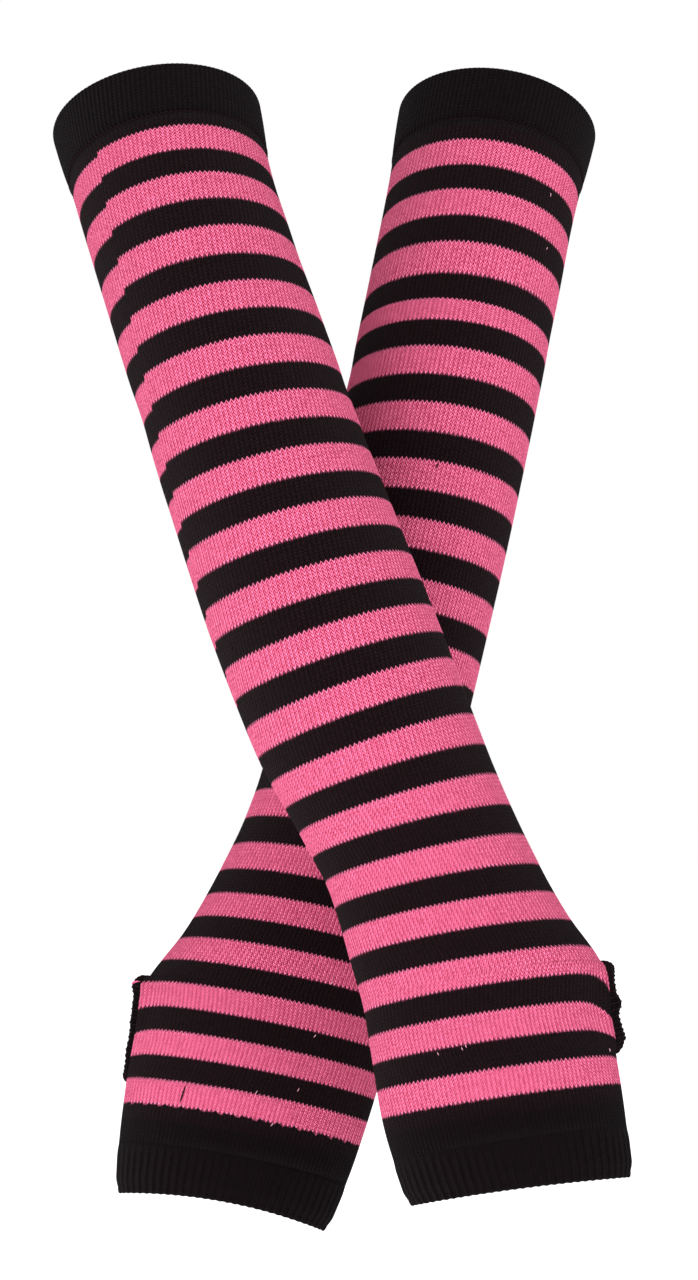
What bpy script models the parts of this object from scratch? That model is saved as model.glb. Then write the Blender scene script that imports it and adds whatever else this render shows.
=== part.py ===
# A pair of long fingerless knitted arm warmers, filled out as worn and crossed in an X.
# Each one is a jersey tube with a turned welt at the upper arm, a ribbed welt round the hand
# and a slit for the thumb with an overlocked edge. The front sleeve runs from the upper left
# to the lower right, over the back sleeve. The backs of the hands face -Y and +Z is up.
# The origin is the crossing, between the two sleeves.
import math
from collections import namedtuple

import bmesh
import bpy
import numpy as np
from mathutils import Vector

MM = 0.001

# Cloth walls, and the room left between pieces
JERSEY_WALL = 1.5 * MM
WELT_WALL = 2.4 * MM
WELT_STEP = 0.5 * MM
SEAM_GAP = 0.3 * MM

# Rounding of the turned welt: the height of its soft edges, how far it is drawn in at its seam,
# how far it swells between them, and half the width of the crest of its fold
WELT_EDGE = 1.2 * MM
WELT_DRAW = 0.35 * MM
WELT_SWELL = 0.15 * MM
FOLD_CREST = 0.5 * MM

# Rounding of the ribbed welt: the height of its soft edges, and how far each edge is drawn in
HEM_EDGE = 0.9 * MM
HEM_SEAM_DRAW = 0.3 * MM
HEM_DRAW = 0.5 * MM
HEM_INSIDE_DRAW = 0.4 * MM

# Half the distance between the sleeves' middles where the front one rests against the back one,
# and the height on each sleeve where the two lengths of its jersey tube meet
CROSSING_DEPTH = 33.9 * MM
JOIN_HEIGHT = 0.0 * MM

# Fineness of the faceted solids
SLEEVE_COLUMNS = 32
UPPER_WELT_COLUMNS = 40
ROW_SPACING = 18 * MM
SLIT_ROWS = 10
EDGE_STEPS = 48
RING_SAMPLES = 360
MERGE_DISTANCE = 0.01 * MM

# The ribbed welt: one rib for every two needles of a 132-needle cylinder
NEEDLES = 132
RIB_COUNT = NEEDLES // 2
RIB_RELIEF = 0.4 * MM

# Roundness of every ring: 2 is an ellipse, more is squarer
RING_EXPONENT = 2.0

# The overlocked edge of the thumb slit
EDGE_GAP = 0.55 * MM
EDGE_THICKNESS = 1.4 * MM
EDGE_INSIDE = 1.3 * MM
EDGE_WAVE = 0.5 * MM
EDGE_WAVES = 9

# A row for each section, from the upper arm to the hand, in millimetres and degrees.
# height, side and depth place the ring's centre from the sleeve's own crossing point.
# slope is how far the ring's right side is raised, lean how far its axis leans back, and rise
# how far its near and far sides stand above its ends.
Section = namedtuple("Section", "height side depth half_width half_depth slope lean rise")

FRONT_SECTIONS = (
    Section(225, -77.0, 52.0, 38.3, 36.0, 11.0, 18, 0),
    Section(200, -70.5, 42.5, 36.2, 35.5, 11.5, 18, 0),
    Section(165, -59.3, 32.0, 35.9, 35.0, 12.5, 15, 0),
    Section(130, -47.5, 22.5, 36.2, 34.8, 13.5, 12.5, 0),
    Section(95, -35.5, 15.5, 36.6, 34.8, 14.5, 10.5, 0),
    Section(60, -23.0, 9.5, 37.4, 35.0, 16.5, 10, 0),
    Section(25, -9.7, 4.0, 37.7, 34.5, 19.0, 9.5, 0),
    Section(0, 0.4, 0.0, 36.9, 33.0, 20.0, 10, 0),
    Section(-20, 9.9, -4.0, 35.2, 30.0, 17.5, 12, 0),
    Section(-45, 21.8, -10.0, 34.9, 25.5, 13.0, 16, 0),
    Section(-65, 30.6, -16.2, 37.2, 24.0, 10.5, 18.5, 0),
    Section(-80, 38.0, -21.5, 40.0, 23.0, 9.6, 19, 0),
    Section(-95, 40.2, -27.0, 39.5, 22.0, 9.0, 19, 0),
    Section(-118, 43.8, -35.5, 39.0, 20.0, 8.8, 17, 0.4),
    Section(-142, 48.8, -44.0, 36.1, 18.0, 7.5, 17, 1.0),
)

BACK_SECTIONS = (
    Section(242.5, 54.0, 53.0, 39.8, 37.5, -10.0, 19.5, 0),
    Section(210, 47.0, 42.0, 37.7, 36.5, -8.5, 19, 0),
    Section(175, 39.8, 31.5, 37.3, 36.0, -6.5, 17.5, 0),
    Section(140, 32.5, 22.0, 37.1, 35.5, -6.5, 16, 0),
    Section(105, 25.1, 14.5, 36.8, 35.0, -7.5, 14.5, 0),
    Section(70, 17.5, 8.5, 36.4, 34.5, -9.0, 13, 0),
    Section(35, 9.5, 3.5, 35.9, 34.0, -10.5, 12, 0),
    Section(0, 1.4, 0.0, 35.5, 32.0, -11.5, 13, 0),
    Section(-30, -6.0, -6.0, 35.8, 28.0, -12.0, 16, 0),
    Section(-60, -16.6, -15.5, 38.4, 25.0, -12.0, 20, 0),
    Section(-82, -26.2, -24.0, 41.5, 24.2, -11.7, 21, 0),
    Section(-95, -32.8, -29.8, 44.6, 23.3, -11.5, 20.5, 0),
    Section(-110, -37.6, -37.0, 45.0, 22.2, -11.5, 19.5, 0.4),
    Section(-130, -42.3, -46.0, 43.1, 20.5, -11.0, 18, 1.2),
    Section(-148, -46.6, -53.0, 40.5, 19.0, -10.7, 17, 2.4),
    Section(-164, -50.2, -60.0, 37.0, 18.0, -10.5, 17, 3.6),
)

# A row for each sleeve: its sections, the height of each welt, the slit for the thumb, how far
# its edge stands out and the side that it is on (0 for the right, 180 for the left), all in
# millimetres and degrees
Sleeve = namedtuple(
    "Sleeve",
    "name sections upper_welt hand_welt slit_centre slit_length slit_width edge_proud thumb_side",
)

SLEEVES = (
    Sleeve("front", FRONT_SECTIONS, 19.0, 14.0, -93.0, 27.0, 12.0, 4.0, 0),
    Sleeve("back", BACK_SECTIONS, 21.0, 15.0, -113.5, 33.0, 12.0, 2.5, 180),
)

BLACK = (0.012, 0.010, 0.011, 1.0)
PINK = (0.85, 0.085, 0.255, 1.0)
YARN_ROUGHNESS = 0.9


def clear_scene():
    for old in list(bpy.data.objects):
        bpy.data.objects.remove(old)


def section_at(sleeve, height):
    """The section at a height, in metres and radians, on a smooth curve through the table's rows."""
    rows = np.array(sleeve.sections, dtype=float)[::-1]
    heights = rows[:, 0] * MM
    slopes = np.gradient(rows, heights, axis=0)
    low = int(np.clip(np.searchsorted(heights, height) - 1, 0, len(rows) - 2))
    span = heights[low + 1] - heights[low]
    part = (height - heights[low]) / span
    blend_low = 2 * part**3 - 3 * part**2 + 1
    blend_high = 1 - blend_low
    pull_low = span * (part**3 - 2 * part**2 + part)
    pull_high = span * (part**3 - part**2)
    row = (
        blend_low * rows[low]
        + blend_high * rows[low + 1]
        + pull_low * slopes[low]
        + pull_high * slopes[low + 1]
    )
    sizes = Section(*row)
    return Section(
        height,
        sizes.side * MM,
        sizes.depth * MM,
        sizes.half_width * MM,
        sizes.half_depth * MM,
        math.radians(sizes.slope),
        math.radians(sizes.lean),
        sizes.rise * MM,
    )


def ring_at(sleeve, height):
    """Evenly sampled points round one ring and their outward directions, from the thumb side over
    the back of the hand, with the length round at each sample."""
    size = section_at(sleeve, height)
    centre = np.array([size.side, size.depth, size.height])
    across = np.array([math.cos(size.slope), 0.0, math.sin(size.slope)])
    upward = np.array([-math.sin(size.slope), 0.0, math.cos(size.slope)])
    towards = math.sin(size.lean) * upward - math.cos(size.lean) * np.array([0.0, 1.0, 0.0])

    turn_direction = 1 if sleeve.thumb_side == 0 else -1
    turns = np.linspace(0, 2 * math.pi, RING_SAMPLES + 1)
    angles = math.radians(sleeve.thumb_side) + turn_direction * turns
    power = 2 / RING_EXPONENT
    wide = np.sign(np.cos(angles)) * np.abs(np.cos(angles)) ** power
    deep = np.sign(np.sin(angles)) * np.abs(np.sin(angles)) ** power
    points = (
        centre
        + np.outer(wide * size.half_width, across)
        + np.outer(deep * size.half_depth, towards)
        + np.outer(deep**2 * size.rise, upward)
    )
    steepness = RING_EXPONENT - 1
    out_wide = np.sign(wide) * np.abs(wide) ** steepness / size.half_width
    out_deep = np.sign(deep) * np.abs(deep) ** steepness / size.half_depth
    outward = np.outer(out_wide, across) + np.outer(out_deep, towards)
    outward /= np.linalg.norm(outward, axis=1)[:, None]
    steps = np.linalg.norm(np.diff(points, axis=0), axis=1)
    lengths = np.concatenate([[0.0], np.cumsum(steps)])
    return points, outward, lengths


def points_on(ring, distances, outsets):
    """Points at these distances round the ring, moved out from its surface by the outsets."""
    points, outward, lengths = ring
    around = np.mod(np.asarray(distances, dtype=float), lengths[-1])
    place = np.stack([np.interp(around, lengths, points[:, axis]) for axis in range(3)], axis=1)
    out = np.stack([np.interp(around, lengths, outward[:, axis]) for axis in range(3)], axis=1)
    return place + out * np.broadcast_to(outsets, around.shape)[:, None]


def material_for(name, color):
    material = bpy.data.materials.new(name)
    material.use_nodes = True
    shader = material.node_tree.nodes["Principled BSDF"]
    shader.inputs["Base Color"].default_value = color
    shader.inputs["Roughness"].default_value = YARN_ROUGHNESS
    shader.inputs["Metallic"].default_value = 0.0
    material.diffuse_color = color
    return material


def new_piece(name, mesh_points, faces, color, collection, parent):
    """Makes an object from rows of points and faces between them, with its faces outward."""
    mesh = bpy.data.meshes.new(name)
    shape = bmesh.new()
    vertices = [shape.verts.new(Vector(point)) for point in mesh_points]
    for face in faces:
        shape.faces.new([vertices[corner] for corner in face])
    bmesh.ops.remove_doubles(shape, verts=shape.verts, dist=MERGE_DISTANCE)
    bmesh.ops.recalc_face_normals(shape, faces=shape.faces)
    shape.to_mesh(mesh)
    shape.free()
    mesh.shade_smooth()
    mesh.materials.append(material_for(name, color))
    piece = bpy.data.objects.new(name, mesh)
    collection.objects.link(piece)
    piece.parent = parent
    return piece


def grid_faces(rows, columns, closed_rows, closed_columns):
    """Quads between neighbouring points of a grid whose points are listed row by row."""
    faces = []
    for row in range(rows if closed_rows else rows - 1):
        for column in range(columns if closed_columns else columns - 1):
            next_row = (row + 1) % rows
            next_column = (column + 1) % columns
            faces.append(
                (
                    row * columns + column,
                    row * columns + next_column,
                    next_row * columns + next_column,
                    next_row * columns + column,
                )
            )
    return faces


def wall_round(sleeve, profile, columns, relief=None):
    """A closed wall round the arm. Each profile point is a height, an outset and whether the
    relief, one outset for each column, is added there."""
    points = []
    for height, outset, raised in profile:
        ring = ring_at(sleeve, height)
        distances = np.arange(columns) / columns * ring[2][-1]
        outsets = np.full(columns, outset)
        if raised and relief is not None:
            outsets = outsets + relief
        points.extend(points_on(ring, distances, outsets))
    return points, grid_faces(len(profile), columns, True, True)


def upper_welt(sleeve, collection, parent):
    """The turned welt: a fold at the rim, two layers thick down to the line where it is linked."""
    rim = sleeve.sections[0].height * MM
    line = rim - sleeve.upper_welt * MM
    halfway = (line + rim) / 2
    outside = WELT_STEP
    inside = WELT_STEP - WELT_WALL
    fold = (outside + inside) / 2
    profile = (
        (line, outside - WELT_DRAW, False),
        (line + WELT_EDGE, outside, False),
        (halfway, outside + WELT_SWELL, False),
        (rim - WELT_EDGE, outside, False),
        (rim, fold + FOLD_CREST, False),
        (rim, fold - FOLD_CREST, False),
        (rim - WELT_EDGE, inside, False),
        (halfway, inside, False),
        (line, inside, False),
    )
    points, faces = wall_round(sleeve, profile, UPPER_WELT_COLUMNS)
    return new_piece(f"{sleeve.name}_upper_welt", points, faces, BLACK, collection, parent)


def hand_welt(sleeve, collection, parent):
    """The ribbed welt: ribs raised on its outer points, over a plain inside."""
    hem = sleeve.sections[-1].height * MM
    line = hem + sleeve.hand_welt * MM
    outside = WELT_STEP - RIB_RELIEF
    inside = WELT_STEP - WELT_WALL
    profile = (
        (line, outside - HEM_SEAM_DRAW, True),
        (line - HEM_EDGE, outside, True),
        (hem + HEM_EDGE, outside, True),
        (hem, outside - HEM_DRAW, True),
        (hem, inside + HEM_INSIDE_DRAW, False),
        (line, inside, False),
    )
    columns = 2 * RIB_COUNT
    relief = np.where(np.arange(columns) % 2 == 0, RIB_RELIEF, 0.0)
    points, faces = wall_round(sleeve, profile, columns, relief)
    return new_piece(f"{sleeve.name}_hand_welt", points, faces, BLACK, collection, parent)


def slit_opening(sleeve, angle, inset=0.0):
    """Height and half opening of the thumb slit, drawn as an ellipse, at an angle from its top."""
    half_length = sleeve.slit_length * MM / 2 - inset
    half_width = sleeve.slit_width * MM / 2 - inset
    height = sleeve.slit_centre * MM + half_length * math.cos(angle)
    return height, half_width * math.sin(angle)


def plain_rows(high, low):
    """Height and half opening of each row of an unbroken length, from high to low."""
    count = max(1, round((high - low) / ROW_SPACING))
    return [(height, 0.0) for height in np.linspace(high, low, count + 1)]


def slit_rows(sleeve):
    """The same for the rows that the thumb slit parts, from its top to its foot."""
    rows = [slit_opening(sleeve, math.pi * step / SLIT_ROWS) for step in range(SLIT_ROWS + 1)]
    top, foot = rows[0][0], rows[-1][0]
    return [(top, 0.0)] + rows[1:-1] + [(foot, 0.0)]


def jersey_length(sleeve, name, rows, collection, parent):
    """One length of the striped tube, open along the thumb slit, with its wall turned inwards."""
    points = []
    for height, half_opening in rows:
        ring = ring_at(sleeve, height)
        length = ring[2][-1]
        distances = np.linspace(half_opening, length - half_opening, SLEEVE_COLUMNS + 1)
        if half_opening == 0.0:
            distances[-1] = 0.0
        points.extend(points_on(ring, distances, 0.0))
    faces = grid_faces(len(rows), SLEEVE_COLUMNS + 1, False, False)
    piece = new_piece(name, points, faces, PINK, collection, parent)
    wall = piece.modifiers.new("wall", "SOLIDIFY")
    wall.thickness = JERSEY_WALL
    wall.offset = -1
    wall.use_even_offset = True
    return piece


def jersey_tube(sleeve, collection, parent):
    """The striped tube, in two lengths that meet at the crossing."""
    top = (sleeve.sections[0].height - sleeve.upper_welt) * MM - SEAM_GAP
    bottom = (sleeve.sections[-1].height + sleeve.hand_welt) * MM + SEAM_GAP
    upper = plain_rows(top, JOIN_HEIGHT + SEAM_GAP / 2)
    slit = slit_rows(sleeve)
    above = plain_rows(JOIN_HEIGHT - SEAM_GAP / 2, slit[0][0])
    below = plain_rows(slit[-1][0], bottom)
    lower = above[:-1] + slit + below[1:]
    jersey_length(sleeve, f"{sleeve.name}_upper_sleeve", upper, collection, parent)
    jersey_length(sleeve, f"{sleeve.name}_lower_sleeve", lower, collection, parent)


def thumb_edge(sleeve, collection, parent):
    """The overlocked edge: a narrow wavy band that follows the slit and stands proud of it."""
    points = []
    for step in range(EDGE_STEPS):
        angle = 2 * math.pi * step / EDGE_STEPS
        wave = EDGE_WAVE * math.sin(EDGE_WAVES * angle)
        crest = sleeve.edge_proud * MM + wave
        corners = (
            (EDGE_GAP, -EDGE_INSIDE),
            (EDGE_GAP, crest),
            (EDGE_GAP + EDGE_THICKNESS, crest),
            (EDGE_GAP + EDGE_THICKNESS, -EDGE_INSIDE),
        )
        for inset, outset in corners:
            height, distance = slit_opening(sleeve, angle, inset)
            points.extend(points_on(ring_at(sleeve, height), [distance], outset))
    faces = grid_faces(EDGE_STEPS, 4, True, True)
    return new_piece(f"{sleeve.name}_thumb_edge", points, faces, BLACK, collection, parent)


def build():
    clear_scene()
    collection = bpy.data.collections.new("knitted_arm_warmers")
    bpy.context.scene.collection.children.link(collection)
    for sleeve in SLEEVES:
        arm = bpy.data.objects.new(f"{sleeve.name}_arm", None)
        collection.objects.link(arm)
        arm.location = (0.0, -CROSSING_DEPTH if sleeve.name == "front" else CROSSING_DEPTH, 0.0)
        upper_welt(sleeve, collection, arm)
        jersey_tube(sleeve, collection, arm)
        hand_welt(sleeve, collection, arm)
        thumb_edge(sleeve, collection, arm)


build()
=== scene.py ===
# A pair of long fingerless knitted arm warmers, filled out as worn and crossed in an X.
# Every piece of cloth and thread is made here in the place of its plain solid. Sizes of the
# garment are in millimetres, while its meshes, the camera, the floor and the lights are in
# metres. +Z is up and the backs of the hands face -Y.
import math
from collections import namedtuple

import bmesh
import bpy
import numpy as np
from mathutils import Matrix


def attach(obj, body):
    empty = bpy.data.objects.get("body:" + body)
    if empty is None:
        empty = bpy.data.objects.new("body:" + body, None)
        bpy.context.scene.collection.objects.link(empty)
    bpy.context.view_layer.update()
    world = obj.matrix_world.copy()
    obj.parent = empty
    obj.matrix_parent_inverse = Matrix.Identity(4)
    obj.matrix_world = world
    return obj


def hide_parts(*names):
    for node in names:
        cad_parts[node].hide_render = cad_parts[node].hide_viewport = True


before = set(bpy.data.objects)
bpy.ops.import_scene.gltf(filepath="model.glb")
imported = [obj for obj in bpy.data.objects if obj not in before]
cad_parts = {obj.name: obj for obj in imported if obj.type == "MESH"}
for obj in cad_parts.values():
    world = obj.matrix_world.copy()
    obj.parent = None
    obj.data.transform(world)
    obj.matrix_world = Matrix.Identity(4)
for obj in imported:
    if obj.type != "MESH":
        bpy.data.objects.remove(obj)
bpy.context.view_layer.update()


# The camera: level, about 70 cm in front of the crossed arms, with a lens a little longer than
# normal.
LENS = 53.9
CAMERA_PLACE = (-0.006, -0.690, 0.034)

camera_data = bpy.data.cameras.new("camera")
camera_data.lens = LENS
camera = bpy.data.objects.new("camera", camera_data)
camera.location = CAMERA_PLACE
camera.rotation_euler = (math.radians(90), 0, 0)
bpy.context.scene.collection.objects.link(camera)
bpy.context.scene.camera = camera


# The striped sleeves: two tubes of fine jersey in pink and black acrylic with some elastane,
# each knitted in one piece on a 132-needle cylinder with a new colour every eight rounds. Each
# is stretched over an arm from above the elbow to the knuckles and left open at the thumb.
#
# A row for each section of a sleeve, from the upper arm to the hand. height, side and depth
# place the ring's centre, slope is how far its right side is raised, lean how far its axis
# leans back, and rise how far its near and far sides stand above its ends.
Section = namedtuple("Section", "height side depth half_width half_depth slope lean rise")

FRONT_SECTIONS = (
    Section(225, -77.0, 52.0, 38.3, 36.0, 11.0, 18, 0),
    Section(200, -70.5, 42.5, 36.2, 35.5, 11.5, 18, 0),
    Section(165, -59.3, 32.0, 35.9, 35.0, 12.5, 15, 0),
    Section(130, -47.5, 22.5, 36.2, 34.8, 13.5, 12.5, 0),
    Section(95, -35.5, 15.5, 36.6, 34.8, 14.5, 10.5, 0),
    Section(60, -23.0, 9.5, 37.4, 35.0, 16.5, 10, 0),
    Section(25, -9.7, 4.0, 37.7, 34.5, 19.0, 9.5, 0),
    Section(0, 0.4, 0.0, 36.9, 33.0, 20.0, 10, 0),
    Section(-20, 9.9, -4.0, 35.2, 30.0, 17.5, 12, 0),
    Section(-45, 21.8, -10.0, 34.9, 25.5, 13.0, 16, 0),
    Section(-65, 30.6, -16.2, 37.2, 24.0, 10.5, 18.5, 0),
    Section(-80, 38.0, -21.5, 40.0, 23.0, 9.6, 19, 0),
    Section(-95, 40.2, -27.0, 39.5, 22.0, 9.0, 19, 0),
    Section(-118, 43.8, -35.5, 39.0, 20.0, 8.8, 17, 0.4),
    Section(-142, 48.8, -44.0, 36.1, 18.0, 7.5, 17, 1.0),
)

BACK_SECTIONS = (
    Section(242.5, 54.0, 53.0, 39.8, 37.5, -10.0, 19.5, 0),
    Section(210, 47.0, 42.0, 37.7, 36.5, -8.5, 19, 0),
    Section(175, 39.8, 31.5, 37.3, 36.0, -6.5, 17.5, 0),
    Section(140, 32.5, 22.0, 37.1, 35.5, -6.5, 16, 0),
    Section(105, 25.1, 14.5, 36.8, 35.0, -7.5, 14.5, 0),
    Section(70, 17.5, 8.5, 36.4, 34.5, -9.0, 13, 0),
    Section(35, 9.5, 3.5, 35.9, 34.0, -10.5, 12, 0),
    Section(0, 1.4, 0.0, 35.5, 32.0, -11.5, 13, 0),
    Section(-30, -6.0, -6.0, 35.8, 28.0, -12.0, 16, 0),
    Section(-60, -16.6, -15.5, 38.4, 25.0, -12.0, 20, 0),
    Section(-82, -26.2, -24.0, 41.5, 24.2, -11.7, 21, 0),
    Section(-95, -32.8, -29.8, 44.6, 23.3, -11.5, 20.5, 0),
    Section(-110, -37.6, -37.0, 45.0, 22.2, -11.5, 19.5, 0.4),
    Section(-130, -42.3, -46.0, 43.1, 20.5, -11.0, 18, 1.2),
    Section(-148, -46.6, -53.0, 40.5, 19.0, -10.7, 17, 2.4),
    Section(-164, -50.2, -60.0, 37.0, 18.0, -10.5, 17, 3.6),
)

# How many stripes, pink and black, lie above a height on the back of the arm. Tension lets
# them out over the forearm and draws them together at the hand.
Tension = namedtuple("Tension", "height stripes")

FRONT_TENSION = (
    Tension(225, -2.8),
    Tension(201, 0),
    Tension(184, 2),
    Tension(146.2, 6),
    Tension(89.8, 12),
    Tension(33.3, 18),
    Tension(-22, 24),
    Tension(-58, 28),
    Tension(-83, 31),
    Tension(-115.5, 35),
    Tension(-142, 38.4),
)

BACK_TENSION = (
    Tension(242.5, -2.9),
    Tension(213.7, 0),
    Tension(193.9, 2),
    Tension(173.6, 4),
    Tension(151.4, 6),
    Tension(143.9, 7),
    Tension(133.8, 8),
    Tension(102.7, 11),
    Tension(71.4, 14),
    Tension(20, 19),
    Tension(-30, 24),
    Tension(-68, 28),
    Tension(-98.4, 32),
    Tension(-136.2, 37),
    Tension(-164, 40.6),
)

# Soft troughs and ridges that the arm leaves in the cloth. height and share, the way round
# from the thumb over the back of the hand, place a crease; length and width are the reach of
# its slopes, lean turns it from level, and lift is its height.
Crease = namedtuple("Crease", "height share length width lean lift")

FRONT_CREASES = (
    Crease(196, 0.30, 46, 7, 8, -0.45),
    Crease(158, 0.12, 30, 9, -14, -0.50),
    Crease(121, 0.58, 38, 8, 10, -0.55),
    Crease(118, 0.80, 52, 6, -6, -0.90),
    Crease(104, 0.74, 44, 7, 9, 0.60),
    Crease(96, 0.83, 38, 5, -4, -0.80),
    Crease(40, 0.33, 42, 11, 16, 0.40),
    Crease(-34, 0.20, 26, 8, -12, -0.55),
    Crease(-47, 0.40, 30, 7, 18, -0.50),
    Crease(-58, 0.72, 40, 6, 5, -0.70),
    Crease(-70, 0.60, 26, 8, -16, 0.50),
    Crease(-104, 0.28, 34, 12, 20, 0.40),
)

BACK_CREASES = (
    Crease(206, 0.24, 40, 8, -10, -0.45),
    Crease(150, 0.36, 34, 9, 12, -0.45),
    Crease(127, 0.78, 54, 7, 7, -0.90),
    Crease(113, 0.70, 46, 6, -8, 0.60),
    Crease(101, 0.79, 36, 5, 5, -0.80),
    Crease(84, 0.14, 28, 9, 15, -0.45),
    Crease(-52, 0.16, 28, 7, -15, -0.55),
    Crease(-66, 0.32, 32, 8, 12, -0.45),
    Crease(-76, 0.70, 42, 7, -5, -0.70),
    Crease(-122, 0.22, 36, 12, -18, 0.45),
    Crease(-140, 0.66, 30, 9, 10, 0.45),
)

# How the edge of a thumb slit lies, by the angle round it from its top over the back of the
# hand: how far its overlocked band stands out and sways sideways, and how far the jersey
# beside it flares outwards.
EdgeStation = namedtuple("EdgeStation", "turn proud sway flare")

FRONT_EDGE = (
    EdgeStation(0, 2.0, 0.0, 0.3),
    EdgeStation(25, 3.6, 0.3, 1.0),
    EdgeStation(58, 3.5, -0.1, 1.8),
    EdgeStation(72, 3.9, 0.0, 2.2),
    EdgeStation(90, 5.4, 0.4, 2.2),
    EdgeStation(107, 4.1, -0.2, 1.9),
    EdgeStation(124, 4.2, 0.1, 1.7),
    EdgeStation(140, 4.3, 0.3, 1.3),
    EdgeStation(155, 3.0, 0.0, 0.9),
    EdgeStation(166, 1.5, -0.1, 0.5),
    EdgeStation(180, 1.2, 0.0, 0.2),
    EdgeStation(206, 2.8, 0.3, 0.8),
    EdgeStation(233, 3.3, -0.3, 1.5),
    EdgeStation(256, 4.6, 0.3, 1.9),
    EdgeStation(282, 3.3, -0.2, 1.7),
    EdgeStation(306, 3.9, 0.2, 1.3),
    EdgeStation(336, 2.6, -0.1, 0.7),
)

BACK_EDGE = (
    EdgeStation(0, 2.2, 0.0, 0.8),
    EdgeStation(16, 4.4, 0.1, 2.2),
    EdgeStation(35, 5.5, 0.2, 3.0),
    EdgeStation(60, 4.1, -0.1, 2.2),
    EdgeStation(85, 3.3, 0.1, 1.5),
    EdgeStation(100, 2.5, -0.1, 1.1),
    EdgeStation(118, 2.5, 0.3, 1.0),
    EdgeStation(142, 1.8, 0.0, 0.6),
    EdgeStation(164, 1.0, -0.1, 0.3),
    EdgeStation(180, 0.8, 0.0, 0.1),
    EdgeStation(212, 2.2, -0.3, 0.6),
    EdgeStation(240, 2.5, 0.2, 1.1),
    EdgeStation(266, 3.5, 0.3, 1.6),
    EdgeStation(295, 3.1, -0.2, 1.7),
    EdgeStation(327, 4.1, 0.1, 1.9),
)

# A row for each sleeve: how far its middle lies behind the crossing, the side that its thumb
# is on (0 right, 180 left), the heights of its welts, the slit for the thumb and how far that
# slit's edge drags the stripes beside it towards the hand. drift is the angle by which the
# wales turn about the arm between the crossing and the upper arm, jog the wale where each
# round of knitting ends, last_stripe how many stripes are done at the cuff, and ragged how
# unevenly the last one ends, in stripes.
Sleeve = namedtuple(
    "Sleeve",
    "name sections tension creases edge middle thumb_side upper_welt hand_welt "
    "slit_centre slit_length slit_width drag drift jog last_stripe ragged",
)

SLEEVES = (
    Sleeve(
        "front", FRONT_SECTIONS, FRONT_TENSION, FRONT_CREASES, FRONT_EDGE,
        -33.9, 0, 19.0, 14.0, -93.0, 27.0, 12.0, 7.0, 52.0, 66, 35, 0.02,
    ),
    Sleeve(
        "back", BACK_SECTIONS, BACK_TENSION, BACK_CREASES, BACK_EDGE,
        33.9, 180, 21.0, 15.0, -113.5, 33.0, 12.0, 2.4, 0.0, 99, 37, 0.06,
    ),
)

# The flat round of a tube before it is worn, its wales and courses, and the cloth's thickness
# with the groove between two wales.
NEEDLES = 132
COURSES_A_STRIPE = 8
JERSEY_WALL = 1.5
GROOVE_DEPTH = 0.16

# The wales turn from none to the sleeve's drift between two heights. A stripe's start climbs
# by JOG_COURSES in each round, and the tables of stripes hold JOG_LEVEL of a round past it.
# The drag and the flare of the slit fade with their reach round the arm and length along it.
DRIFT_FROM, DRIFT_TO = -18, 205
JOG_COURSES = 1.3
JOG_LEVEL = 0.75
DRAG_REACH = 4.2
DRAG_LENGTH = 12.0
FLARE_REACH = 3.8
FLARE_LENGTH = 3.0

# The last stripe ends unevenly in two waves, in radians a wale. Further than PLAIN_MARGIN of
# a stripe outside the first and last borders, the cloth is plain black.
RAGGED_FINE = 2.4
RAGGED_BROAD = 0.7
PLAIN_MARGIN = 0.5

# MM makes millimetres the metres of the meshes, and the rest is how finely these are made.
MM = 0.001
COLUMNS_A_WALE = 3
ROW_SPACING = 3.6
SLIT_ROWS = 14
RING_SAMPLES = 360
MERGE_DISTANCE = 0.00001


def on_curve(rows, heights):
    """Rows of a table at these heights, on a smooth curve through its own rows."""
    table = np.array(rows, dtype=float)[::-1]
    stations = table[:, 0]
    slopes = np.gradient(table, stations, axis=0)
    low = np.clip(np.searchsorted(stations, heights) - 1, 0, len(table) - 2)
    span = (stations[low + 1] - stations[low])[..., None]
    part = (np.asarray(heights) - stations[low])[..., None] / span
    blend = 2 * part**3 - 3 * part**2 + 1
    return (
        blend * table[low]
        + (1 - blend) * table[low + 1]
        + span * (part**3 - 2 * part**2 + part) * slopes[low]
        + span * (part**3 - part**2) * slopes[low + 1]
    )


def ring_at(sleeve, height):
    """Points round one ring, from the thumb over the back of the hand, with their outward
    directions and the length round to each."""
    size = Section(*on_curve(sleeve.sections, height))
    slope, lean = math.radians(size.slope), math.radians(size.lean)
    across = np.array([math.cos(slope), 0, math.sin(slope)])
    upward = np.array([-math.sin(slope), 0, math.cos(slope)])
    towards = math.sin(lean) * upward - math.cos(lean) * np.array([0, 1, 0])
    turn_direction = 1 if sleeve.thumb_side == 0 else -1
    turns = np.linspace(0, 2 * math.pi, RING_SAMPLES + 1)
    angles = math.radians(sleeve.thumb_side) + turn_direction * turns
    wide, deep = np.cos(angles), np.sin(angles)
    points = (
        np.array([size.side, size.depth + sleeve.middle, height])
        + np.outer(wide * size.half_width, across)
        + np.outer(deep * size.half_depth, towards)
        + np.outer(deep**2 * size.rise, upward)
    )
    outward = np.outer(wide / size.half_width, across) + np.outer(deep / size.half_depth, towards)
    outward /= np.linalg.norm(outward, axis=1)[:, None]
    steps = np.linalg.norm(np.diff(points, axis=0), axis=1)
    return points, outward, np.concatenate([[0], np.cumsum(steps)])


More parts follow.
